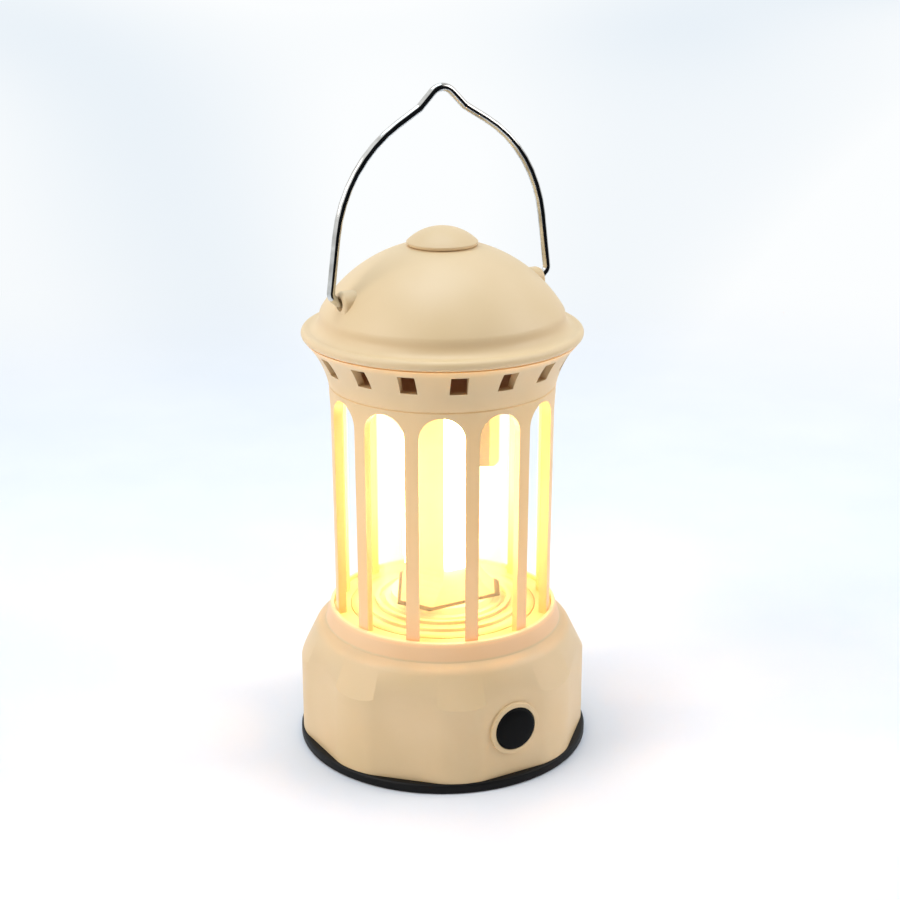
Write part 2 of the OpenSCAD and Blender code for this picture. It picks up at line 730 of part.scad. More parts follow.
// Rounded-top block along X that carries one end of the handle
module pivot_boss() {
    r = 2.4;
    half = boss_w / 2;
    rotate([90, 0, 90]) linear_extrude(boss_x) union() {
        translate([-half, neck_z + 1]) square([boss_w, boss_top - r - neck_z - 1]);
        translate([-half + r, neck_z + 1]) square([boss_w - 2 * r, boss_top - neck_z - 1]);
        for (s = [-1, 1]) translate([s * (half - r), boss_top - r]) circle(r = r);
    }
}

module roof() {
    color(beige) difference() {
        union() {
            rotate_extrude() polygon(roof_outline());
            translate([0, 0, eaves_z - 2]) rotate_extrude()
                translate([neck_r - roof_wall - 1.6, 0]) square([1.6, neck_z - eaves_z - 2]);
            for (s = [0, 1]) mirror([s, 0, 0]) difference() {
                pivot_boss();
                translate([-1, -far / 2, 0]) cube([pin_in - 1, far, far]);
            }
            intersection() {
                roof_screw_places() translate([0, 0, holder_z + holder_t]) cylinder(r = 2.6, h = 40);
                translate([0, 0, dome_z]) sphere(r = dome_r - 1);
            }
        }
        translate([0, 0, dome_z]) cylinder(r = finial_stem_r + pivot_gap, h = far);
        for (s = [0, 1]) mirror([s, 0, 0]) translate([0, 0, pivot_z]) rotate([0, 90, 0]) {
            translate([0, 0, pin_in - 0.3]) cylinder(r = pin_r + pivot_gap, h = far);
            translate([0, 0, boss_x - 2]) cylinder(r = mouth_r, h = far);
        }
        roof_screw_places() cylinder(r = screw_r - 0.1, h = holder_z + holder_t + 8);
    }
}

// Low domed knob on the roof's crown, with a stem through it
module finial() {
    base_z = dome_z + sqrt(dome_r ^ 2 - finial_r ^ 2) + 0.35;
    top_z = dome_z + dome_r + finial_h;
    rise = top_z - base_z - 0.8;
    cap_r = (finial_r ^ 2 + rise ^ 2) / (2 * rise);
    half = asin(finial_r / cap_r);
    color(beige) difference() {
        union() {
            rotate_extrude() polygon(concat([[0, base_z - 1.2], [finial_r - 1, base_z - 1.2],
                [finial_r - 1, base_z], [finial_r - 0.2, base_z], [finial_r, base_z + 0.4]],
                arc([0, top_z - cap_r], cap_r, 90 - half, 90, 12)));
            translate([0, 0, dome_z + dome_r - 7]) cylinder(r = finial_stem_r, h = 7);
        }
        difference() {
            translate([0, 0, dome_z]) sphere(r = dome_r + 0.05);
            translate([0, 0, dome_z]) cylinder(r = finial_stem_r, h = far);
        }
    }
}

// Steps of the handle from its crown to a pin: ["line", length] or ["bend", radius, turn]
crown_turn = 45;
hump_turn = 14.5;
arm_turn = 52;
corner_turn = 56;
crown_r = 4.2;
hump_r = 3;
crown_l = 5;
arm_r = 1.12 * bail_half_w;
corner_r = 1.9;
hook = 1.6;

// Across and down moves of a bend from heading h by turn t, t negative to the right
function bend_move(r, h, t) = (t > 0 ? r : -r) * [sin(h + t) - sin(h), cos(h) - cos(h + t)];

arm_heading = hump_turn - crown_turn;
leg_heading = arm_heading - arm_turn;
hook_heading = leg_heading - corner_turn;
pin_turn = -180 - hook_heading;
crown_move = bend_move(crown_r, 0, -crown_turn) + crown_l * [cos(crown_turn), -sin(crown_turn)]
    + bend_move(hump_r, -crown_turn, hump_turn) + bend_move(arm_r, arm_heading, -arm_turn);
corner_move = bend_move(corner_r, leg_heading, -corner_turn) + hook * [cos(hook_heading), sin(hook_heading)]
    + bend_move(corner_r, hook_heading, pin_turn);
// Lengths of the straight arm and leg that bring the corner and the pin to their places
det = cos(arm_heading) * sin(leg_heading) - sin(arm_heading) * cos(leg_heading);
want = [bail_half_w - 0.2, -bail_rise] - crown_move - [0, corner_move[1]];
arm_l = (want[0] * sin(leg_heading) - want[1] * cos(leg_heading)) / det;
leg_l = (cos(arm_heading) * want[1] - sin(arm_heading) * want[0]) / det;
pin_l = bail_half_w - 0.2 + corner_move[0] - pin_in;
bail_steps = [["bend", crown_r, -crown_turn], ["line", crown_l], ["bend", hump_r, hump_turn],
    ["line", arm_l], ["bend", arm_r, -arm_turn], ["line", leg_l], ["bend", corner_r, -corner_turn],
    ["line", hook], ["bend", corner_r, pin_turn], ["line", 1]];

// Points of the path that starts at p on heading h and follows the steps from number i on
function path(steps, i = 0, p = [0, 0], h = 0) = i == len(steps) ? [p] : steps[i][0] == "line"
    ? concat([p], path(steps, i + 1, p + steps[i][1] * [cos(h), sin(h)], h))
    : let (r = steps[i][1], t = steps[i][2], n = ceil(abs(t) / 7))
        concat([for (k = [0:n - 1]) p + bend_move(r, h, t * k / n)],
            path(steps, i + 1, p + bend_move(r, h, t), h + t));

// Bent wire whose ends sit in two round pins
module handle_bail() {
    half = path(bail_steps);
    last = len(half) - 1;
    points = concat([for (i = [last:-1:1]) [-half[i][0], 0, half[i][1]]],
        [for (p = half) [p[0], 0, p[1]]]);
    color(steel) union() {
        translate([0, 0, pivot_z + bail_rise]) tube_along(points, wire_r, [0, 1, 0], 16);
        for (s = [0, 1]) mirror([s, 0, 0]) translate([pin_in, 0, pivot_z]) rotate([0, 90, 0])
            cylinder(r = pin_r, h = pin_l);
    }
}

bottom_cap();
battery_door();
battery_tray();
battery_cell(1);  // battery_cell_1
battery_cell(2);  // battery_cell_2
battery_cell(3);  // battery_cell_3
contact_plates();
contact_springs();
base_shell();
cap_screws();
switch_button();
switch_plunger();
switch_body();
driver_board();
board_parts();
board_screws();
battery_lead_red();
battery_lead_black();
led_lead_red();
led_lead_black();
reflector_deck();
light_pillar();
pillar_screws();
cob_strip(0);  // cob_front
cob_strip(-120);  // cob_left
cob_strip(120);  // cob_right
lamp_chimney();
cage_ring();
cage_columns();  // columns
cornice();
cage_screws();
top_holder();
roof_screws();
roof();
finial();
handle_bail();
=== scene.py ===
"""Finishes of a lantern table lamp.

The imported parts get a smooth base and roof, soft moulded edges, wire, light, materials and a
studio.
"""

import math

import bpy
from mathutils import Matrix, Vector


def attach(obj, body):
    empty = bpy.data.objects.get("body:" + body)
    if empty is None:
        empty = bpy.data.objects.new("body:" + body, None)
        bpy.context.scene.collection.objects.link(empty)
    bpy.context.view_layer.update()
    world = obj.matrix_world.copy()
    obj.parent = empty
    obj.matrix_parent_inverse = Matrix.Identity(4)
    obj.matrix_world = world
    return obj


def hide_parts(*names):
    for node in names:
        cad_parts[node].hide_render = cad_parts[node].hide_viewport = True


bl_info = {
    "name": "Column lantern lamp",
    "version": (1, 0, 0),
    "blender": (4, 5, 0),
    "location": "View3D > Sidebar > Lantern",
    "description": "Gives the column lantern its finished pieces, materials and studio",
    "category": "Object",
}

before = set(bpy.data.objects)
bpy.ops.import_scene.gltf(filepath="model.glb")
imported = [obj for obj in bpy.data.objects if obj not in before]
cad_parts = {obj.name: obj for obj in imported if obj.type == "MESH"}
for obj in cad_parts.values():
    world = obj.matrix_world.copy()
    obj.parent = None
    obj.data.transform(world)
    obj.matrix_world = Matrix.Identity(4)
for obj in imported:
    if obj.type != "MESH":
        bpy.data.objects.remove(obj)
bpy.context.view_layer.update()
MM = 0.001  # metres in a millimetre
PER_METRE = 1000.0  # millimetres in a metre
WELD = 0.000001  # metres under which two vertices of a turned solid are one
CAD_WELD = 0.000002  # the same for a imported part's mesh
FLAT_ANGLE = 0.5  # degrees under which two faces count as one flat face
SHARP_ANGLE = 32.0  # degrees over which a moulding's edge is rounded

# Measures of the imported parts, in mm
FOOT_Z = 2.8  # underside of the base's walls
APOTHEM = 38.897  # from the centre to the base's flats
CORNER_R = 18.0  # rounding of the base's upright corners
COLLAR_Z = 40.4  # top of the base's collar
BUTTON_Z = 16.5  # height of the button's axis
BUTTON_BORE_R = 6.2
BEZEL_R = 7.5
BEZEL_Y = -39.7  # face of the ring round the button
EAVES_Z = 117.4  # underside of the roof's brim
DOME_Z = 104.9  # centre of the dome's sphere
DOME_R = 38.6
DOME_INNER_R = 36.6
PIVOT_Z = 129.9  # height of the handle's hinge axis
FOOT_SHADOW_Z = 43.8  # top of the dark strip painted as the shadow round the pillar's foot
PAINTED_DARK_REFLECTION = "#14161A"  # painted dark reflection: what metal shows of a dark opening in the tent
DEEP_BEIGE = "#DEC090"  # the body colour in the darker flow clouds


# ---------------------------------------------------------------- colours and nodes


def srgb(code):
    """An sRGB hex colour as linear RGBA."""
    channels = [int(code[i : i + 2], 16) / 255 for i in (1, 3, 5)]
    linear = [c / 12.92 if c <= 0.04045 else ((c + 0.055) / 1.055) ** 2.4 for c in channels]
    return (*linear, 1.0)


def node(tree, kind, links=(), **settings):
    """Adds a node.

    Settings name its properties, or its inputs as i0, i1, ...; links are (input, output socket).
    """
    made = tree.nodes.new(kind)
    for key, value in settings.items():
        if key[0] == "i" and key[1:].isdigit():
            made.inputs[int(key[1:])].default_value = value
        else:
            setattr(made, key, value)
    for target, source in links:
        tree.links.new(source, made.inputs[target])
    return made


def new_material(name):
    """An empty node material with its shader, its output and its object coordinates."""
    made = bpy.data.materials.new(name)
    made.use_nodes = True
    tree = made.node_tree
    tree.nodes.clear()
    shader = node(tree, "ShaderNodeBsdfPrincipled")
    node(tree, "ShaderNodeOutputMaterial", [("Surface", shader.outputs[0])])
    place = node(tree, "ShaderNodeTexCoord").outputs["Object"]
    return made, tree, shader, place


def feed(shader, socket, source):
    """Links an output to one of the shader's inputs."""
    shader.id_data.links.new(source, shader.inputs[socket])


def ramp(tree, source, stops):
    """A colour ramp over source through (position, colour) stops."""
    made = node(tree, "ShaderNodeValToRGB", [("Fac", source)])
    elements = made.color_ramp.elements
    while len(elements) < len(stops):
        elements.new(0.5)
    for element, (position, colour) in zip(elements, stops):
        element.position = position
        element.color = colour
    return made.outputs["Color"]


def graded(tree, source, stops):
    """A colour ramp through (position, hex colour) stops."""
    return ramp(tree, source, [(at, srgb(code)) for at, code in stops])


def noise(tree, place, size_mm, detail=3.0, roughness=0.55):
    """Noise whose blotches are about size_mm across."""
    scale = PER_METRE / size_mm
    made = node(tree, "ShaderNodeTexNoise", [("Vector", place)], i2=scale, i3=detail, i4=roughness)
    return made.outputs["Fac"]


def clouded(tree, place, deep, base, size_mm, detail=3.0):
    """A colour that drifts between two hex colours in soft clouds of size_mm."""
    stops = [(0.3, srgb(deep)), (0.7, srgb(base))]
    return ramp(tree, noise(tree, place, size_mm, detail), stops)


def radius_of(tree, place):
    """Distance from the lamp's upright axis."""
    flat = node(
        tree, "ShaderNodeVectorMath", [(0, place)], operation="MULTIPLY", i1=(1.0, 1.0, 0.0)
    ).outputs[0]
    made = node(tree, "ShaderNodeVectorMath", [(0, flat)], operation="LENGTH")
    return made.outputs["Value"]


def height_of(tree, place, low_mm, high_mm):
    """Height between low_mm and high_mm as 0..1."""
    height = node(tree, "ShaderNodeSeparateXYZ", [("Vector", place)]).outputs["Z"]
    return scaled(tree, height, 0.0, 1.0, low_mm * MM, high_mm * MM)


def scaled(tree, source, low, high, start=0.0, end=1.0):
    """Source mapped from start..end to low..high."""
    return node(
        tree, "ShaderNodeMapRange", [("Value", source)], i1=start, i2=end, i3=low, i4=high
    ).outputs["Result"]


def blend(tree, factor, under, over):
    """One colour over another by a factor."""
    made = node(tree, "ShaderNodeMix", data_type="RGBA")
    for index, source in ((0, factor), (6, under), (7, over)):
        tree.links.new(source, made.inputs[index])
    return made.outputs[2]


def bump(tree, shader, height, depth_mm, strength=1.0):
    """Adds a bump of depth_mm to the shader."""
    made = node(tree, "ShaderNodeBump", [("Height", height)], i0=strength, i1=depth_mm * MM)
    feed(shader, "Normal", made.outputs["Normal"])


# ---------------------------------------------------------------- materials


def moulded_abs(name, base, deep, roughness=0.42, specular=0.45, glow=None):
    """Injection-moulded ABS with a fine spark-eroded texture: soft sheen and faint flow clouds.

    glow is (low mm, high mm, stops): a painted glow standing in for the light through the wall, as
    an emission ramp over the height.
    """
    made, tree, shader, place = new_material(name)
    colour = clouded(tree, place, deep, base, 28.0, 2.0)
    feed(shader, "Base Color", colour)
    # Spark texture of 0.1 mm, drawn as coarse as it shows
    grain = noise(tree, place, 0.35, 2.0, 0.6)
    feed(shader, "Roughness", scaled(tree, grain, roughness - 0.05, roughness + 0.07))
    bump(tree, shader, grain, 0.012)
    shader.inputs["IOR"].default_value = 1.53
    shader.inputs["Specular IOR Level"].default_value = specular
    if glow:
        low, high, stops = glow
        light = graded(tree, height_of(tree, place, low, high), stops)
        feed(shader, "Emission Color", light)
        shader.inputs["Emission Strength"].default_value = 1.0
    return made


def soft_rubber(name, base, deep):
    """Moulded soft-touch rubber: dark, wide dull highlight, fine matt grain."""
    made, tree, shader, place = new_material(name)
    colour = clouded(tree, place, deep, base, 9.0)
    feed(shader, "Base Color", colour)
    grain = noise(tree, place, 0.3, 2.0, 0.7)
    feed(shader, "Roughness", scaled(tree, grain, 0.5, 0.66))
    bump(tree, shader, grain, 0.015)
    shader.inputs["IOR"].default_value = 1.52
    shader.inputs["Specular IOR Level"].default_value = 0.12
    return made


def lit_white(name, base, glow, strength, low_mm=43.0, high_mm=60.0):
    """White ABS with a painted glow: emission standing in for the light strips shining on and
    through it, dimmer at the pillar's foot.
    """
    made, tree, shader, place = new_material(name)
    colour = clouded(tree, place, base, "#F6E0A8", 12.0)
    feed(shader, "Base Color", colour)
    painted_glow_colour = graded(tree, height_of(tree, place, low_mm, high_mm), [(0.0, glow), (1.0, "#E8B860")])
    feed(shader, "Emission Color", painted_glow_colour)
    shader.inputs["Emission Strength"].default_value = strength
    grain = noise(tree, place, 0.5, 2.0)
    feed(shader, "Roughness", scaled(tree, grain, 0.35, 0.5))
    bump(tree, shader, grain, 0.01)
    return made


def lit_deck(name):
    """White ABS deck with painted light in its base colour: yellow and orange bands drawn as the
    warm light on its steps, falling off to orange at the rim.
    """
    made, tree, shader, place = new_material(name)
    radius = radius_of(tree, place)
    stops = [
        (0.0, "#FFF8E2"),
        (0.3, "#FBF2C8"),
        (0.45, "#F4DCA0"),
        (0.6, "#FAECBA"),
        (0.75, "#EAC07C"),
        (0.87, "#F2D698"),
        (1.0, "#CC8438"),
    ]
    painted_ring_light = graded(tree, scaled(tree, radius, 0.0, 1.0, 12 * MM, 30 * MM), stops)
    feed(shader, "Base Color", painted_ring_light)
    grain = noise(tree, place, 0.5, 2.0)
    feed(shader, "Roughness", scaled(tree, grain, 0.32, 0.46))
    bump(tree, shader, grain, 0.01)
    return made


def cob_phosphor(name):
    """Chip-on-board light strip: yellow phosphor gel that shines warm white, with faint dots."""
    made, tree, shader, place = new_material(name)
    cells = node(tree, "ShaderNodeTexVoronoi", [("Vector", place)], i2=PER_METRE / 1.6)
    colour = ramp(tree, cells.outputs["Distance"], [(0.2, srgb("#FFF1C4")), (0.7, srgb("#FFDF8C"))])
    feed(shader, "Base Color", colour)
    glow = ramp(tree, cells.outputs["Distance"], [(0.2, srgb("#FFD79A")), (0.7, srgb("#FFCF88"))])
    feed(shader, "Emission Color", glow)
    shader.inputs["Emission Strength"].default_value = 36.0
    shader.inputs["Roughness"].default_value = 0.3
    return made


def clear_tube(name):
    """Extruded clear polycarbonate: nearly colourless, with faint lengthwise drawing lines and a
    painted glow.
    """
    made, tree, shader, place = new_material(name)
    stretched = node(tree, "ShaderNodeMapping", [("Vector", place)], i3=(1.0, 1.0, 0.02))
    lines = noise(tree, stretched.outputs["Vector"], 1.2, 2.0)
    feed(shader, "Roughness", scaled(tree, lines, 0.02, 0.09))
    bump(tree, shader, lines, 0.01, 0.6)
    shader.inputs["Base Color"].default_value = srgb("#FFF2CC")
    # Painted glow: emission for the strips' light caught in the tube, deeper yellow low down
    height = height_of(tree, place, 40.0, 104.0)
    painted_tube_glow = graded(tree, height, [(0.0, "#ECD290"), (0.5, "#F8EAC0")])
    feed(shader, "Emission Color", painted_tube_glow)
    shader.inputs["Emission Strength"].default_value = 0.6
    shader.inputs["Alpha"].default_value = 0.16
    shader.inputs["IOR"].default_value = 1.58
    return made


def plated_steel(name, base="#C9C8C4", grain_mm=0.25, roughness=0.28):
    """Zinc- or nickel-plated steel: bright, with fine drawing marks along Z."""
    made, tree, shader, place = new_material(name)
    stretched = node(tree, "ShaderNodeMapping", [("Vector", place)], i3=(1.0, 1.0, 0.08))
    marks = noise(tree, stretched.outputs["Vector"], grain_mm, 3.0)
    colour = clouded(tree, place, "#ADACA8", base, 6.0)
    feed(shader, "Base Color", colour)
    feed(shader, "Roughness", scaled(tree, marks, roughness - 0.08, roughness + 0.1))
    bump(tree, shader, marks, 0.001)
    shader.inputs["Metallic"].default_value = 1.0
    return made


def plain_plastic(name, base, deep, roughness=0.45, blotch_mm=5.0):
    """Moulded or extruded plastic of a small hidden part: near-even colour, faint grain."""
    made, tree, shader, place = new_material(name)
    colour = clouded(tree, place, deep, base, blotch_mm)
    feed(shader, "Base Color", colour)
    grain = noise(tree, place, 0.4, 2.0)
    feed(shader, "Roughness", scaled(tree, grain, roughness - 0.06, roughness + 0.06))
    bump(tree, shader, grain, 0.008)
    return made


def cell_jacket(name):
    """Shrink-wrapped dry cell along X: green film with a dark band, bare plated ends."""
    made, tree, shader, place = new_material(name)
    along = node(tree, "ShaderNodeSeparateXYZ", [("Vector", place)]).outputs["X"]
    part = scaled(tree, along, 0.0, 1.0, -26 * MM, 26 * MM)
    film = graded(tree, part, [(0.0, "#20242A"), (0.30, "#20242A"), (0.31, "#2E6B45")])
    away = node(tree, "ShaderNodeMath", [(0, along)], operation="ABSOLUTE").outputs[0]
    ends = scaled(tree, away, 0.0, 1.0, 24.3 * MM, 24.5 * MM)
    cloud = clouded(tree, place, "#B9B9B6", "#CBCBC8", 4.0)
    feed(shader, "Base Color", blend(tree, ends, film, cloud))
    feed(shader, "Metallic", ends)
    feed(shader, "Roughness", scaled(tree, noise(tree, place, 0.8), 0.22, 0.34))
    return made


def lit_holder(name):
    """Beige ABS disc with a painted glow for the light under it shining through, and painted shade,
    dark bluish, on the legs by the strips.
    """
    made, tree, shader, place = new_material(name)
    beige = clouded(tree, place, "#C9A468", "#D2AE74", 10.0)
    # Painted shade: the inner part of the legs, below the disc, dark bluish where the strips' light
    # does not fall
    radius = radius_of(tree, place)
    inner = scaled(tree, radius, 1.0, 0.0, 12.9 * MM, 13.3 * MM)
    legs = scaled(tree, height_of(tree, place, 101.5, 102.0), 1.0, 0.0)
    leg_shade_mask = maths(tree, "MULTIPLY", inner, legs)
    shade = clouded(tree, place, "#0A1420", "#0E1A28", 3.0)
    feed(shader, "Base Color", blend(tree, leg_shade_mask, beige, shade))
    # Painted glow: emission for the light under the disc shining through it, rising towards the
    # disc
    height = height_of(tree, place, 101.0, 107.0)
    light = graded(tree, height, [(0.0, "#000000"), (0.6, "#32180A")])
    feed(shader, "Emission Color", light)
    shader.inputs["Emission Strength"].default_value = 1.0
    shader.inputs["Roughness"].default_value = 0.5
    return made


def maths(tree, operation, first, second):
    """Two values put together by a maths node."""
    made = node(tree, "ShaderNodeMath", [(0, first), (1, second)], operation=operation)
    return made.outputs[0]


def facing(tree, direction, axis):
    """How far a direction points along an axis, as a dot product."""
    made = node(
        tree, "ShaderNodeVectorMath", [(0, direction)], operation="DOT_PRODUCT", i1=axis
    )
    return made.outputs["Value"]


def eased(tree, source, start, end):
    """Source from start..end as a smooth 0..1."""
    made = node(
        tree,
        "ShaderNodeMapRange",
        [("Value", source)],
        interpolation_type="SMOOTHSTEP",
        i1=start,
        i2=end,
        i3=0.0,
        i4=1.0,
    )
    return made.outputs["Result"]


def mixed(tree, factor, under, over):
    """One shader over another by a factor."""
    made = node(tree, "ShaderNodeMixShader", [(0, factor), (1, under), (2, over)])
    return made.outputs[0]


def dark_reflection_in(tree, direction):
    """1 for mirror rays whose direction points to the front and right: the mask of a painted dark
    reflection, which lights nothing.
    """
    opening = scaled(tree, facing(tree, direction, (0.36, -0.92, 0.1)), 0.0, 1.0, 0.5, 0.62)
    glossy = node(tree, "ShaderNodeLightPath").outputs["Is Glossy Ray"]
    return maths(tree, "MULTIPLY", glossy, opening)


def seen_directly(tree):
    """1 for camera, mirror and glass rays, 0 for the rays that light the scene."""
    path = node(tree, "ShaderNodeLightPath").outputs
    seen = maths(tree, "MAXIMUM", path["Is Camera Ray"], path["Is Transmission Ray"])
    return maths(tree, "MAXIMUM", seen, path["Is Glossy Ray"])


def looking(start, target):
    """Rotation of a camera or lamp at start that looks at target."""
    return (target - start).to_track_quat("-Z", "Y").to_euler()


def paint(names, material):
    """Puts one material on pieces or CAD nodes."""
    for name in names:
        mesh = bpy.data.objects[name].data
        mesh.materials.clear()
        mesh.materials.append(material)


# ---------------------------------------------------------------- modelling helpers


def deselect():
    """Leaves edit mode and selects nothing."""
    if bpy.context.object and bpy.context.object.mode != "OBJECT":
        bpy.ops.object.mode_set(mode="OBJECT")
    bpy.ops.object.select_all(action="DESELECT")


def only(piece):
    """Selects one object and makes it active."""
    deselect()
    piece.select_set(True)
    bpy.context.view_layer.objects.active = piece


def apply_modifier(piece, kind, **settings):
    """Adds a modifier and applies it."""
    only(piece)
    made = piece.modifiers.new(kind.title(), kind)
    for key, value in settings.items():
        setattr(made, key, value)
    bpy.ops.object.modifier_apply(modifier=made.name)


def copied(cad_name, piece_name):
    """A merged copy of a CAD node's mesh, ready for modelling."""
    piece = bpy.data.objects.new(piece_name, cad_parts[cad_name].data.copy())
    bpy.context.scene.collection.objects.link(piece)
    only(piece)
    bpy.ops.object.mode_set(mode="EDIT")
    bpy.ops.mesh.select_all(action="SELECT")
    bpy.ops.mesh.remove_doubles(threshold=CAD_WELD)
    bpy.ops.object.mode_set(mode="OBJECT")
    return piece


def joined(cad_names, piece_name):
    """Copies of CAD nodes that touch, united into one moulding."""
    piece = copied(cad_names[0], piece_name)
    for name in cad_names[1:]:
        other = copied(name, name + "_copy")
        apply_modifier(piece, "BOOLEAN", operation="UNION", solver="EXACT", object=other)
        bpy.data.objects.remove(other)
    return piece


def finished(piece, body, cad_names, edge_mm=0.0, segments=3, smooth=35.0):
    """Rounds a moulding's sharp edges, shades it and puts it in place of its CAD nodes."""
    only(piece)
    bpy.ops.object.mode_set(mode="EDIT")
    bpy.ops.mesh.select_all(action="SELECT")
    bpy.ops.mesh.dissolve_limited(angle_limit=math.radians(FLAT_ANGLE))
    bpy.ops.object.mode_set(mode="OBJECT")
    if edge_mm:
        apply_modifier(
            piece,
            "BEVEL",
            width=edge_mm * MM,
            segments=segments,
            limit_method="ANGLE",
            angle_limit=math.radians(SHARP_ANGLE),
            use_clamp_overlap=True,
            miter_outer="MITER_SHARP",
        )
    only(piece)
    bpy.ops.object.shade_smooth_by_angle(angle=math.radians(smooth))
    apply_modifier(piece, "WEIGHTED_NORMAL", keep_sharp=True, weight=50)
    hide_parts(*cad_names)
    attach(piece, body)
    return piece


def arc(centre, radius, start, end, steps):
    """Points in mm along an arc, angles in degrees."""
    angles = [math.radians(start + (end - start) * i / steps) for i in range(steps + 1)]
    return [(centre[0] + radius * math.cos(a), centre[1] + radius * math.sin(a)) for a in angles]


def turned(name, profile, steps=192):
    """A closed profile of (radius, height) in mm, spun round Z.

    It is extruded point by point from one vertex.
    """
    deselect()
    bpy.ops.mesh.primitive_plane_add(size=MM, location=(profile[0][0] * MM, 0, profile[0][1] * MM))
    piece = bpy.context.object
    piece.name = name
    bpy.ops.object.transform_apply(location=True)
    bpy.ops.object.mode_set(mode="EDIT")
    bpy.ops.mesh.select_all(action="SELECT")
    bpy.ops.mesh.merge(type="CENTER")
    for near, far in zip(profile, profile[1:] + profile[:1]):
        step = ((far[0] - near[0]) * MM, 0, (far[1] - near[1]) * MM)
        bpy.ops.mesh.extrude_region_move(TRANSFORM_OT_translate={"value": step})
    bpy.ops.mesh.select_all(action="SELECT")
    bpy.ops.mesh.remove_doubles(threshold=WELD)
    bpy.ops.mesh.spin(steps=steps, angle=2 * math.pi, center=(0, 0, 0), axis=(0, 0, 1))
    bpy.ops.mesh.select_all(action="SELECT")
    bpy.ops.mesh.remove_doubles(threshold=WELD)
    bpy.ops.mesh.delete_loose()
    bpy.ops.mesh.select_all(action="SELECT")
    bpy.ops.mesh.normals_make_consistent(inside=False)
    bpy.ops.object.mode_set(mode="OBJECT")
    return piece


def block(name, low, high):
    """A box between two corners in mm."""
    deselect()
    bpy.ops.mesh.primitive_cube_add(
        size=1,
        location=[(a + b) / 2 * MM for a, b in zip(low, high)],
        scale=[(b - a) * MM for a, b in zip(low, high)],
    )
    piece = bpy.context.object
    piece.name = name
    bpy.ops.object.transform_apply(location=True, scale=True)
    return piece


def rod(name, start, end, radius, vertices=48):
    """A cylinder in mm between two points, along X, Y or Z."""
    along = Vector(end) - Vector(start)
    deselect()
    bpy.ops.mesh.primitive_cylinder_add(
        vertices=vertices,
        radius=radius * MM,
        depth=along.length * MM,
        location=[(a + b) / 2 * MM for a, b in zip(start, end)],
        rotation=along.to_track_quat("Z", "Y").to_euler(),
    )
    piece = bpy.context.object
    piece.name = name
    bpy.ops.object.transform_apply(location=True, rotation=True)
    return piece


def octagon_prism(name, apothem, corner_r, low, high):
    """An upright octagonal prism with rounded corners, in mm, its flats facing X and Y."""
    deselect()
    bpy.ops.mesh.primitive_cylinder_add(
        vertices=8,
        radius=apothem / math.cos(math.pi / 8) * MM,
        depth=(high - low) * MM,
        location=(0, 0, (low + high) / 2 * MM),
        rotation=(0, 0, math.pi / 8),
    )
    piece = bpy.context.object
    piece.name = name
    bpy.ops.object.transform_apply(location=True, rotation=True)
    bevelled(piece, lambda at, way: abs(way.z) > 0.9, corner_r * math.tan(math.pi / 8), 24)
    return piece


def base_solid(name, outline, inset):
    """The base's outside as a solid: a turned outline cut by an octagon, inset by inset mm."""
    low, high = outline[0][1], outline[-1][1]
    solid = turned(name, [(0.0, low)] + outline + [(0.0, high)])
    prism = octagon_prism("prism", APOTHEM - inset, CORNER_R - inset, low - 5, high + 5)
    combined(solid, prism, "INTERSECT")
    return solid


def bevelled(piece, chosen, width_mm, segments):
    """Bevels the edges whose middle, in mm, passes the test chosen(middle, direction)."""
    only(piece)
    bpy.ops.object.mode_set(mode="EDIT")
    bpy.ops.mesh.select_mode(type="EDGE")
    bpy.ops.mesh.select_all(action="DESELECT")
    bpy.ops.object.mode_set(mode="OBJECT")
    mesh = piece.data
    for edge in mesh.edges:
        a, b = (mesh.vertices[i].co / MM for i in edge.vertices)
        edge.select = bool(chosen((a + b) / 2, (b - a).normalized()))
    bpy.ops.object.mode_set(mode="EDIT")
    bpy.ops.mesh.bevel(offset=width_mm * MM, segments=segments, profile=0.5, affect="EDGES")
    bpy.ops.mesh.select_mode(type="VERT")
    bpy.ops.object.mode_set(mode="OBJECT")


def combined(piece, other, operation):
    """Boolean of piece with other, which is used up."""
    apply_modifier(piece, "BOOLEAN", operation=operation, solver="EXACT", object=other)
    bpy.data.objects.remove(other)


# ---------------------------------------------------------------- settings


class LanternSizes(bpy.types.PropertyGroup):
    """Sizes of the finish."""

    edge: bpy.props.FloatProperty(
        name="Edge rounding",
        description="Radius of the mouldings' edges in millimetres",
        default=0.35,
        min=0.1,
        max=0.8,
    )
    floor_size: bpy.props.FloatProperty(
        name="Floor",
        description="Width of the floor",
        default=16.0,
        unit="LENGTH",
        subtype="DISTANCE",
    )


class LanternColours(bpy.types.PropertyGroup):
    """Colours of the finish."""

    beige: bpy.props.StringProperty(
        name="Beige", description="Moulded body, as sRGB hex", default="#E5C89C"
    )
    black: bpy.props.StringProperty(
        name="Black", description="Foot and door, as sRGB hex", default="#060505"
    )


# ---------------------------------------------------------------- operators


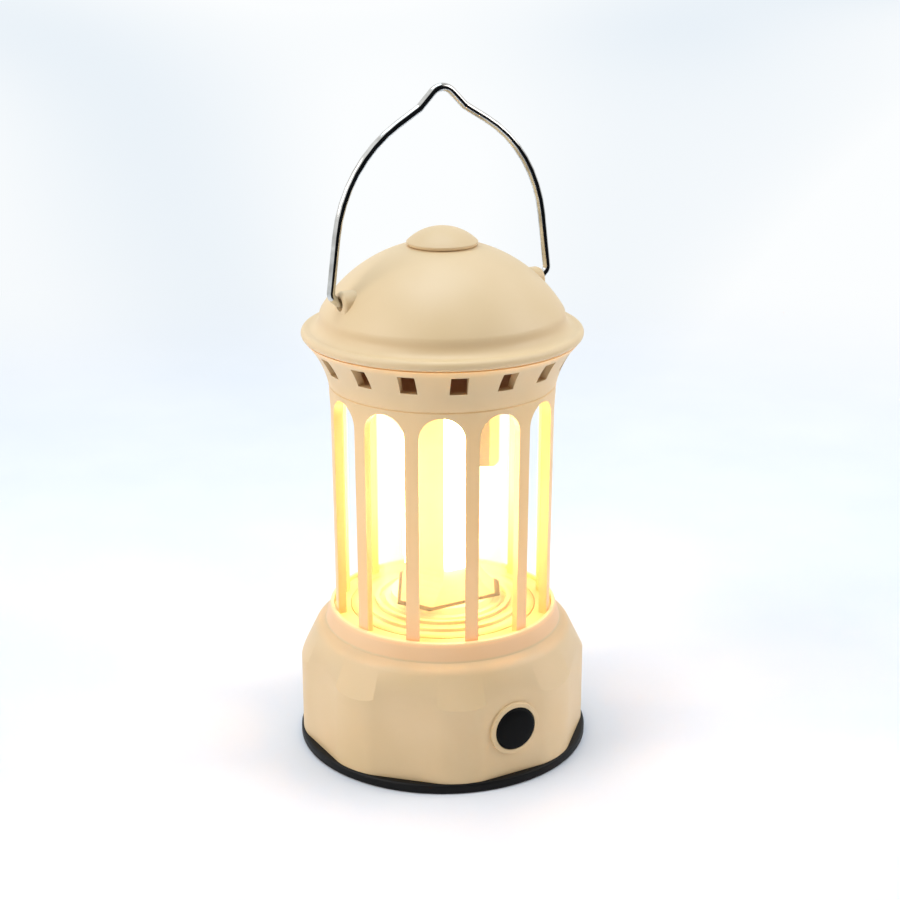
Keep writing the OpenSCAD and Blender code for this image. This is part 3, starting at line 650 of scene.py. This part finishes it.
class LANTERN_OT_mouldings(bpy.types.Operator):
    """Beige base and colonnade with rounded edges"""

    bl_idname = "lantern.mouldings"
    bl_label = "Beige mouldings"

    def base_shell(self):
        """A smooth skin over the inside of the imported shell, with its button ring"""
        lean = 25.64  # degrees that the shoulder leans
        round_r, round_at = 3.9, (32.882, 31.112)  # rounding between shoulder and collar
        skin = 0.5  # half the thickness of the skin, which overlaps the kept inside by this much
        outline = (
            [(41.622, FOOT_Z), (41.622, 21.917)]
            + arc(round_at, round_r, lean, 66, 12)
            + [(33.66, 35.02), (33.32, 35.3), (33.2, 35.75)]
            + arc((31.45, 39.95), 0.45, 10, 90, 6)
        )
        outside = base_solid("base_moulding", outline, 0.0)
        inset = (
            [(41.4, FOOT_Z), (41.4, 21.0)]
            + arc(round_at, round_r - skin, lean, 66, 6)
            + [(32.7, 35.2), (32.7, 35.7), (31.4, 40.0), (31.3, COLLAR_Z)]
        )
        kept = copied("base_shell", "kept")
        combined(kept, base_solid("kept_inside", inset, skin), "INTERSECT")
        hollow = (
            [(41.6, FOOT_Z - 1), (41.6, 19.6)]
            + arc(round_at, round_r - 2 * skin, lean, 66, 6)
            + [(31.6, 34.3), (31.1, 34.8), (31.1, COLLAR_Z + 1)]
        )
        combined(outside, base_solid("hollow", hollow, 2 * skin), "DIFFERENCE")
        combined(outside, kept, "UNION")
        ring = rod("ring", (0, BEZEL_Y, BUTTON_Z), (0, -38.0, BUTTON_Z), BEZEL_R, 96)
        bevelled(ring, lambda at, way: at.y < BEZEL_Y + 0.1, 0.25, 3)
        combined(outside, ring, "UNION")
        hole = rod("hole", (0, -42, BUTTON_Z), (0, -36, BUTTON_Z), BUTTON_BORE_R, 96)
        combined(outside, hole, "DIFFERENCE")
        return outside

    def execute(self, context):
        edge = context.scene.lantern_sizes.edge
        beige = context.scene.lantern_colours.beige
        base = self.base_shell()
        finished(base, "lamp", ["base_shell"], smooth=20.0)
        # Painted glow: emission standing in for light through the thin lip of the collar
        lip = [
            (0.0, "#000000"),
            (0.12, "#5E2408"),
            (0.7, "#6A2C0C"),
            (0.86, "#8A5420"),
            (1.0, "#B09060"),
        ]
        glow = (35.4, COLLAR_Z, lip)
        paint([base.name], moulded_abs("Beige moulded ABS base", beige, DEEP_BEIGE, glow=glow))
        cage = joined(["cage_ring", "columns", "cornice"], "cage_moulding")
        finished(cage, "lamp", ["cage_ring", "columns", "cornice"], edge)
        # Painted glow: emission standing in for light through the columns, less through the thick
        # cornice, and a painted light line at its top edge under the brim
        through = [
            (0.0, "#9A4A00"),
            (0.1, "#8A5200"),
            (0.5, "#7A5008"),
            (0.76, "#6A480C"),
            (0.9, "#1C1004"),
            (0.975, "#160C02"),
            (1.0, "#8A6028"),
        ]
        glow = (39.0, EAVES_Z, through)
        lit = moulded_abs("Beige moulded ABS, lit through", beige, DEEP_BEIGE, glow=glow)
        paint([cage.name], lit)
        paint(["top_holder"], lit_holder("Beige moulded ABS holder"))
        return {"FINISHED"}


class LANTERN_OT_roof(bpy.types.Operator):
    """Domed roof with its brim, pivot bosses and screw posts, and its finial"""

    bl_idname = "lantern.roof"
    bl_label = "Roof and finial"

    def execute(self, context):
        outer, inner = 31.19, 29.59  # radii of the skirt that centres the roof in the cornice
        skirt = [
            (outer, EAVES_Z),
            (outer, 115.4),
            (inner, 115.4),
            (inner, 120.6),
            (outer, 120.6),
            (outer, 122.6),
        ]
        profile = (
            [(36.61, EAVES_Z), (36.81, 117.6)]
            + arc((36.95, 118.95), 1.35, -90, 90, 14)
            + arc((36.4, 123.4), 3.1, -92, -176, 16)
            + [(33.26, 123.75), (33.19, 124.25), (33.04, 124.75)]
            + arc((0, DOME_Z), DOME_R, 31.6, 86.96, 64)
            + arc((0, DOME_Z), DOME_INNER_R, 86.79, 32.57, 60)
            + skirt[::-1]
        )
        roof = turned("roof_moulding", profile)
        out_x, half, top_z = 31.0, 3.6, 133.0  # pivot boss: outer face, half width and top
        for side in (-1, 1):
            boss = block("boss", (23.5, -half, 125.6), (out_x, half, top_z))
            bevelled(boss, lambda at, way: at.z > top_z - 0.1 and abs(way.x) > 0.9, 3.2, 10)
            bevelled(
                boss,
                lambda at, way: at.x > out_x - 0.1 and at.z > 126 and abs(way.x) < 0.1,
                0.9,
                5,
            )
            if side < 0:
                only(boss)
                bpy.ops.transform.rotate(value=math.pi, orient_axis="Z", center_override=(0, 0, 0))
                bpy.ops.object.transform_apply(rotation=True, location=True)
            combined(roof, boss, "UNION")
        post_ring = 24  # radius of the ring of screw posts
        for turn in range(3):
            angle = math.radians(-90 + 120 * turn)
            x, y = post_ring * math.cos(angle), post_ring * math.sin(angle)
            post = rod("post", (x, y, 106.7), (x, y, 140), 2.6)
            deselect()
            bpy.ops.mesh.primitive_uv_sphere_add(
                segments=96, ring_count=48, radius=(DOME_R - 1) * MM, location=(0, 0, DOME_Z * MM)
            )
            combined(post, context.object, "INTERSECT")
            combined(roof, post, "UNION")
            combined(roof, rod("bore", (x, y, 106), (x, y, 114.7), 0.9, 24), "DIFFERENCE")
        for side in (-1, 1):
            mouth_x = side * 33
            bore = rod("bore", (side * 23, 0, PIVOT_Z), (mouth_x, 0, PIVOT_Z), 1.17)
            combined(roof, bore, "DIFFERENCE")
            mouth = rod("mouth", (side * 29, 0, PIVOT_Z), (mouth_x, 0, PIVOT_Z), 2.0)
            combined(roof, mouth, "DIFFERENCE")
        beige = context.scene.lantern_colours.beige
        finish = moulded_abs("Beige moulded ABS roof", beige, DEEP_BEIGE)
        finished(roof, "lamp", ["roof"], smooth=38.0)
        knob = finished(copied("finial", "finial_moulding"), "lamp", ["finial"], 0.7, segments=5)
        paint([roof.name, knob.name], finish)
        return {"FINISHED"}


class LANTERN_OT_foot(bpy.types.Operator):
    """Black foot, battery door and push button"""

    bl_idname = "lantern.foot"
    bl_label = "Black foot and button"

    def execute(self, context):
        colours = context.scene.lantern_colours
        black = moulded_abs("Black moulded ABS", colours.black, "#040303", 0.5, 0.18)
        foot = finished(copied("bottom_cap", "foot_moulding"), "lamp", ["bottom_cap"], 0.2)
        paint([foot.name, "battery_door"], black)
        button = finished(copied("switch_button", "button_cap"), "button", ["switch_button"], 0.3)
        paint([button.name], soft_rubber("Black soft-touch rubber", "#010101", "#000000"))
        return {"FINISHED"}


class LANTERN_OT_light(bpy.types.Operator):
    """Light strips, pillar, deck, clear chimney and a dark strip painted as the shadow round the
    pillar's foot
    """

    bl_idname = "lantern.light"
    bl_label = "Light and chimney"

    def execute(self, context):
        paint(["cob_front", "cob_left", "cob_right"], cob_phosphor("Chip-on-board phosphor"))
        paint(["light_pillar"], lit_white("Lit white ABS pillar", "#F4E2B4", "#8A5A20", 0.14))
        paint(["reflector_deck"], lit_deck("White moulded ABS deck"))
        # Painted shadow: a dark strip round the pillar's foot stands in for the shadow gap between
        # the foot and the deck
        foot_shadow_strip = copied("light_pillar", "pillar_foot_shadow")
        only(foot_shadow_strip)
        bpy.ops.object.mode_set(mode="EDIT")
        bpy.ops.mesh.select_all(action="SELECT")
        bpy.ops.mesh.bisect(
            plane_co=(0, 0, FOOT_SHADOW_Z * MM), plane_no=(0, 0, 1), use_fill=True, clear_outer=True
        )
        bpy.ops.mesh.select_all(action="SELECT")
        bpy.ops.transform.resize(value=(1.05, 1.05, 1.0), center_override=(0, 0, 0))
        bpy.ops.object.mode_set(mode="OBJECT")
        core = copied("light_pillar", "core")
        combined(foot_shadow_strip, core, "DIFFERENCE")
        bpy.ops.object.shade_smooth_by_angle(angle=math.radians(30))
        paint([foot_shadow_strip.name], soft_rubber("Black painted shadow strip", "#030304", "#010102"))
        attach(foot_shadow_strip, "lamp")
        paint(["lamp_chimney"], clear_tube("Clear polycarbonate tube"))
        return {"FINISHED"}


class LANTERN_OT_handle(bpy.types.Operator):
    """Bent wire handle"""

    bl_idname = "lantern.handle"
    bl_label = "Wire handle"

    def execute(self, context):
        wire = copied("handle_bail", "handle_wire")
        finished(wire, "handle", ["handle_bail"], smooth=50.0)
        paint([wire.name], plated_steel("Nickel-plated spring wire", "#E6E6E3", 0.6, 0.1))
        return {"FINISHED"}


class LANTERN_OT_inside(bpy.types.Operator):
    """Battery bay, cells, board, leads and screws"""

    bl_idname = "lantern.inside"
    bl_label = "Inside parts"

    def execute(self, context):
        steel = ["contact_plates", "contact_springs"]
        steel += [place + "_screws" for place in ("cap", "board", "pillar", "cage", "roof")]
        cells = ["battery_cell_1", "battery_cell_2", "battery_cell_3"]
        white = plain_plastic("White moulded ABS", "#F1EEE6", "#E7E2D6")
        paint(["battery_tray", "switch_plunger"], white)
        paint(cells, cell_jacket("Shrink-wrapped cell jacket"))
        paint(steel, plated_steel("Zinc-plated steel"))
        for names, plastic in (
            (["switch_body", "board_parts"], ("Black switch plastic", "#26262A", "#1E1E22")),
            (["driver_board"], ("Green glass-epoxy laminate", "#0F4A24", "#0C3E1E", 0.32, 2.0)),
            (["battery_lead_red", "led_lead_red"], ("Red vinyl lead", "#B3201A", "#A01A16", 0.4)),
            (
                ["battery_lead_black", "led_lead_black"],
                ("Black vinyl lead", "#131313", "#0E0E0E", 0.4),
            ),
        ):
            paint(names, plain_plastic(*plastic))
        return {"FINISHED"}


class LANTERN_OT_stage(bpy.types.Operator):
    """Camera, pale floor, studio lamps and world"""

    bl_idname = "lantern.stage"
    bl_label = "Studio"

    def execute(self, context):
        scene = context.scene
        # Camera at the photograph's angle
        lens = bpy.data.cameras.new("Studio camera")
        lens.sensor_width = 36.0
        lens.lens = 71.08
        lens.clip_start = 0.01
        camera = bpy.data.objects.new("Studio camera", lens)
        scene.collection.objects.link(camera)
        camera.location = (-0.23183, -0.40568, 0.24030)
        aim = Vector((0.00179, -0.00104, 0.0846))
        camera.rotation_euler = looking(camera.location, aim)
        scene.camera = camera

        # Floor
        deselect()
        bpy.ops.mesh.primitive_plane_add(size=scene.lantern_sizes.floor_size)
        floor = context.object
        floor.name = "studio_floor"
        made, tree, shader, place = new_material("White seamless paper")
        shade = clouded(tree, place, "#EAEBED", "#EFEFF0", 60.0, 2.0)
        feed(shader, "Base Color", shade)
        shader.inputs["Roughness"].default_value = 0.8
        shader.inputs["Specular IOR Level"].default_value = 0.1
        # Away from the lamp and its shadow, the paper runs out into the tent's pale blue white
        away = node(tree, "ShaderNodeVectorMath", [(0, place)], operation="LENGTH")
        away = away.outputs["Value"]
        far = eased(tree, away, 0.18, 0.6)
        heading = node(tree, "ShaderNodeVectorMath", [(0, place)], operation="NORMALIZE").outputs[0]
        drift = node(
            tree,
            "ShaderNodeVectorMath",
            [(0, place), (2, heading)],
            operation="MULTIPLY_ADD",
            i1=(0.12, 0.12, 0.12),
        )
        drifts = noise(tree, drift.outputs[0], 420.0, 0.5)
        tint = graded(tree, drifts, [(0.36, "#E9F1F8"), (0.6, "#FCFEFF")])
        glow = node(tree, "ShaderNodeEmission", [("Color", tint)])
        share = maths(tree, "MULTIPLY", far, seen_directly(tree))
        mix = mixed(tree, share, shader.outputs[0], glow.outputs[0])
        # Painted dark reflection: from 0.14 m out, full by 0.26 m, mirror rays see the floor in
        # front and to the right as a dark opening
        near = scaled(tree, away, 0.0, 1.0, 0.14, 0.26)
        front = maths(tree, "MULTIPLY", near, dark_reflection_in(tree, heading))
        dark = node(tree, "ShaderNodeEmission", i0=srgb(PAINTED_DARK_REFLECTION))
        mix = mixed(tree, front, mix, dark.outputs[0])
        tree.links.new(mix, tree.get_output_node("ALL").inputs["Surface"])
        floor.data.materials.append(made)

        # Lamps
        for name, at, size, power, colour in (
            ("Left softbox", (-1.1, 0.1, 0.8), 0.8, 8.0, (1.0, 0.95, 0.9)),
            ("Right softbox", (0.9, -0.55, 0.7), 0.7, 5.7, (1.0, 0.97, 0.95)),
            ("Top softbox", (0.0, 0.15, 1.3), 0.9, 8.6, (0.68, 0.86, 1.0)),
        ):
            lamp = bpy.data.lights.new(name, "AREA")
            lamp.size = size
            lamp.energy = power
            lamp.color = colour
            holder = bpy.data.objects.new(name, lamp)
            scene.collection.objects.link(holder)
            holder.location = at
            holder.rotation_euler = looking(Vector(at), Vector((0, 0, 0.08)))

        # World: a white tent, darker at the front, plain white to the camera and through glass;
        # mirror rays alone see a painted dark reflection of its opening, in front and to the right
        world = bpy.data.worlds.new("Studio tent")
        scene.world = world
        world.use_nodes = True
        tree = world.node_tree
        tree.nodes.clear()
        direction = node(tree, "ShaderNodeTexCoord").outputs["Generated"]
        opening = eased(tree, facing(tree, direction, (-0.479, -0.839, 0.259)), 0.5, 0.72)
        tent = scaled(tree, opening, 0.62, 0.26)
        up = node(tree, "ShaderNodeSeparateXYZ", [("Vector", direction)]).outputs["Z"]
        sky = graded(tree, up, [(0.05, "#FFF6EA"), (0.7, "#DDE9FF")])
        light = node(tree, "ShaderNodeBackground", [("Color", sky), ("Strength", tent)])
        white = node(tree, "ShaderNodeBackground", i0=srgb("#FDFEFF"), i1=1.0)
        mix = mixed(tree, seen_directly(tree), light.outputs[0], white.outputs[0])
        dark = node(tree, "ShaderNodeBackground", i0=srgb(PAINTED_DARK_REFLECTION))
        mix = mixed(tree, dark_reflection_in(tree, direction), mix, dark.outputs[0])
        node(tree, "ShaderNodeOutputWorld", [("Surface", mix)])
        scene.view_settings.view_transform = "Standard"
        return {"FINISHED"}


class LANTERN_PT_panel(bpy.types.Panel):
    """Lists the lantern's steps in the sidebar"""

    bl_label = "Lantern"
    bl_idname = "LANTERN_PT_panel"
    bl_space_type = "VIEW_3D"
    bl_region_type = "UI"
    bl_category = "Lantern"

    def draw(self, context):
        for group in (context.scene.lantern_sizes, context.scene.lantern_colours):
            for key in group.__annotations__:
                self.layout.prop(group, key)
        for step in STEPS:
            self.layout.operator(step.bl_idname)


STEPS = (
    LANTERN_OT_stage,
    LANTERN_OT_mouldings,
    LANTERN_OT_roof,
    LANTERN_OT_foot,
    LANTERN_OT_light,
    LANTERN_OT_handle,
    LANTERN_OT_inside,
)
CLASSES = (LanternSizes, LanternColours) + STEPS + (LANTERN_PT_panel,)


def register():
    for made in CLASSES:
        bpy.utils.register_class(made)
    bpy.types.Scene.lantern_sizes = bpy.props.PointerProperty(type=LanternSizes)
    bpy.types.Scene.lantern_colours = bpy.props.PointerProperty(type=LanternColours)


def unregister():
    del bpy.types.Scene.lantern_sizes
    del bpy.types.Scene.lantern_colours
    for made in reversed(CLASSES):
        bpy.utils.unregister_class(made)


def main():
    register()
    bpy.ops.lantern.stage()
    bpy.ops.lantern.mouldings()
    bpy.ops.lantern.roof()
    bpy.ops.lantern.foot()
    bpy.ops.lantern.light()
    bpy.ops.lantern.handle()
    bpy.ops.lantern.inside()


if __name__ == "__main__":
    main()
